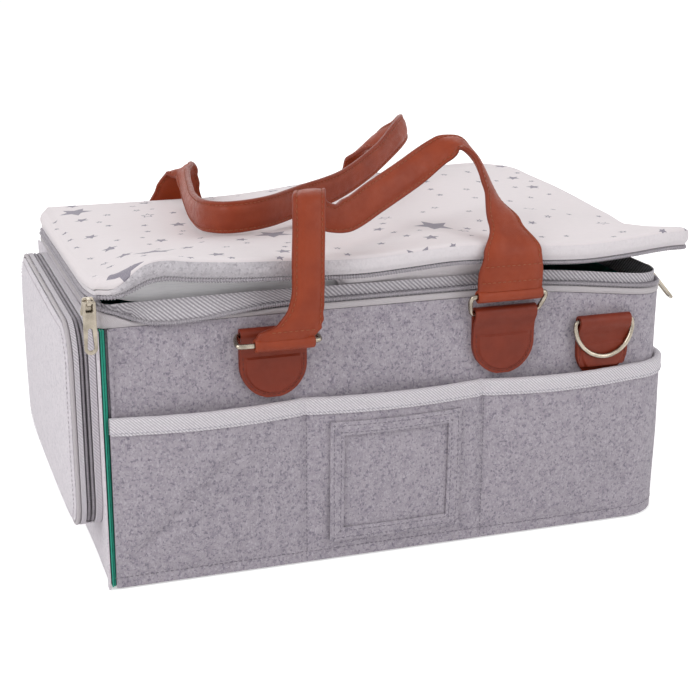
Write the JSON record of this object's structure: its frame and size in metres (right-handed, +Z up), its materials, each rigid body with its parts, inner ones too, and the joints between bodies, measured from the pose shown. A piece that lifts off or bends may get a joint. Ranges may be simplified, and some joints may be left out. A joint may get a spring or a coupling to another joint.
{
  "type": "felt tote bag",
  "caption": "Boxy grey felt caddy tote with a zipped star-print lid, outside pockets, a zipped end pocket, two leather handles and shoulder strap rings",
  "frame": {"origin": "centre of the body on the surface that the bag stands on", "axes": "+X along the long front towards the rounded right end, -Y is the front with the label frame, +Z is up"},
  "size_m": [0.4297, 0.2963, 0.2611],
  "materials": {
    "felt": "soft marled grey felt",
    "pale_felt": "soft pale grey felt",
    "teal_lining": "plain woven lining",
    "board": "stiff base board",
    "twill": "herringbone woven tape",
    "star_fabric": "off-white woven cloth with scattered grey stars",
    "white_lining": "plain white woven cloth",
    "zip_coil": "grey nylon zip coil",
    "leather": "tan brown smooth leather",
    "nickel": "warm nickel plated metal"
  },
  "bodies": {
    "caddy": {"wall_strip": "felt", "left_wall": "felt", "seam_lining_front": "teal_lining", "seam_lining_back": "teal_lining", "base_panel": "felt", "base_board": "board", "base_lining": "teal_lining", "wall_lining": "teal_lining", "pocket_band": "felt", "pocket_binding": "twill", "label_frame": "pale_felt", "rim_strip": "twill", "rim_coil": "zip_coil", "rim_tape": "twill", "back_skirt": "star_fabric", "front_left_tab": "leather", "front_right_tab": "leather", "rear_left_tab": "leather", "rear_right_tab": "leather", "front_shoulder_tab": "leather", "rear_shoulder_tab": "leather", "end_gusset": "twill", "end_inner_coil": "zip_coil", "end_hinge_strip": "twill"},
    "lid": {"lid_top": "star_fabric", "lid_lining": "white_lining", "lid_coil": "zip_coil", "lid_edge_tape": "twill", "lid_facing": "white_lining"},
    "front_handle_body": {"front_handle": "leather", "front_right_ring": "nickel"},
    "front_left_ring_body": {"front_left_ring": "nickel"},
    "rear_handle_body": {"rear_handle": "leather", "rear_left_ring": "nickel", "rear_right_ring": "nickel"},
    "front_shoulder_ring_body": {"front_shoulder_ring": "nickel"},
    "rear_shoulder_ring_body": {"rear_shoulder_ring": "nickel"},
    "left_slider_body": {"left_slider": "nickel"},
    "left_pull_body": {"left_pull": "nickel"},
    "right_slider_body": {"right_slider": "nickel"},
    "right_pull_body": {"right_pull": "nickel"},
    "end_slider_body": {"end_slider": "nickel"},
    "end_pull_body": {"end_pull": "nickel"},
    "end_flap": {"end_outer_coil": "zip_coil", "end_flap_band": "twill", "end_pocket_face": "pale_felt", "end_piping": "twill"}
  },
  "joints": [
    {"name": "lid_hinge", "type": "hinge", "parent": "caddy", "child": "lid", "pos_m": [0, 0.1283, 0.19], "axis": [-1, 0, 0], "range_deg": [0, 105]},
    {"name": "front_handle_swing", "type": "hinge", "parent": "caddy", "child": "front_handle_body", "pos_m": [0, -0.1324, 0.154], "axis": [1, 0, 0], "range_deg": [0, 135], "deforming": ["front_handle"]},
    {"name": "front_left_ring_swing", "type": "hinge", "parent": "front_handle_body", "child": "front_left_ring_body", "pos_m": [0, -0.1324, 0.154], "axis": [1, 0, 0], "range_deg": [-81, 0]},
    {"name": "rear_handle_swing", "type": "hinge", "parent": "caddy", "child": "rear_handle_body", "pos_m": [0, 0.1324, 0.154], "axis": [-1, 0, 0], "range_deg": [0, 135], "deforming": ["rear_handle"]},
    {"name": "front_shoulder_ring_swing", "type": "hinge", "parent": "caddy", "child": "front_shoulder_ring_body", "pos_m": [0.137, -0.1324, 0.142], "axis": [-1, 0, 0], "range_deg": [0, 150]},
    {"name": "rear_shoulder_ring_swing", "type": "hinge", "parent": "caddy", "child": "rear_shoulder_ring_body", "pos_m": [-0.137, 0.1324, 0.142], "axis": [1, 0, 0], "range_deg": [0, 150]},
    {"name": "left_slider_slide", "type": "slide", "parent": "caddy", "child": "left_slider_body", "axis": [0.9935, 0, -0.1135], "range_m": [0, 0.07]},
    {"name": "left_pull_hinge", "type": "hinge", "parent": "left_slider_body", "child": "left_pull_body", "pos_m": [-0.1955, -0.1345, 0.1822], "axis": [-1, 0, 0], "range_deg": [0, 150]},
    {"name": "right_slider_slide", "type": "slide", "parent": "caddy", "child": "right_slider_body", "axis": [0, 0.9982, 0.0596], "range_m": [0, 0.15]},
    {"name": "right_pull_hinge", "type": "hinge", "parent": "right_slider_body", "child": "right_pull_body", "pos_m": [0.1965, -0.082, 0.1612], "axis": [0, -1, 0], "range_deg": [-41, 100]},
    {"name": "end_slider_slide", "type": "slide", "parent": "caddy", "child": "end_slider_body", "axis": [0, 0, 1], "range_m": [0, 0.08]},
    {"name": "end_pull_hinge", "type": "hinge", "parent": "end_slider_body", "child": "end_pull_body", "pos_m": [-0.19715, 0.1194, 0.052], "axis": [1, 0, 0], "range_deg": [0, 150]},
    {"name": "end_flap_hinge", "type": "hinge", "parent": "caddy", "child": "end_flap", "pos_m": [-0.2, 0, 0.0289], "axis": [0, -1, 0], "range_deg": [0, 90]}
  ],
  "couplings": [
    {"joint": "front_left_ring_swing", "follows": "front_handle_swing", "ratio": -0.6}
  ]
}
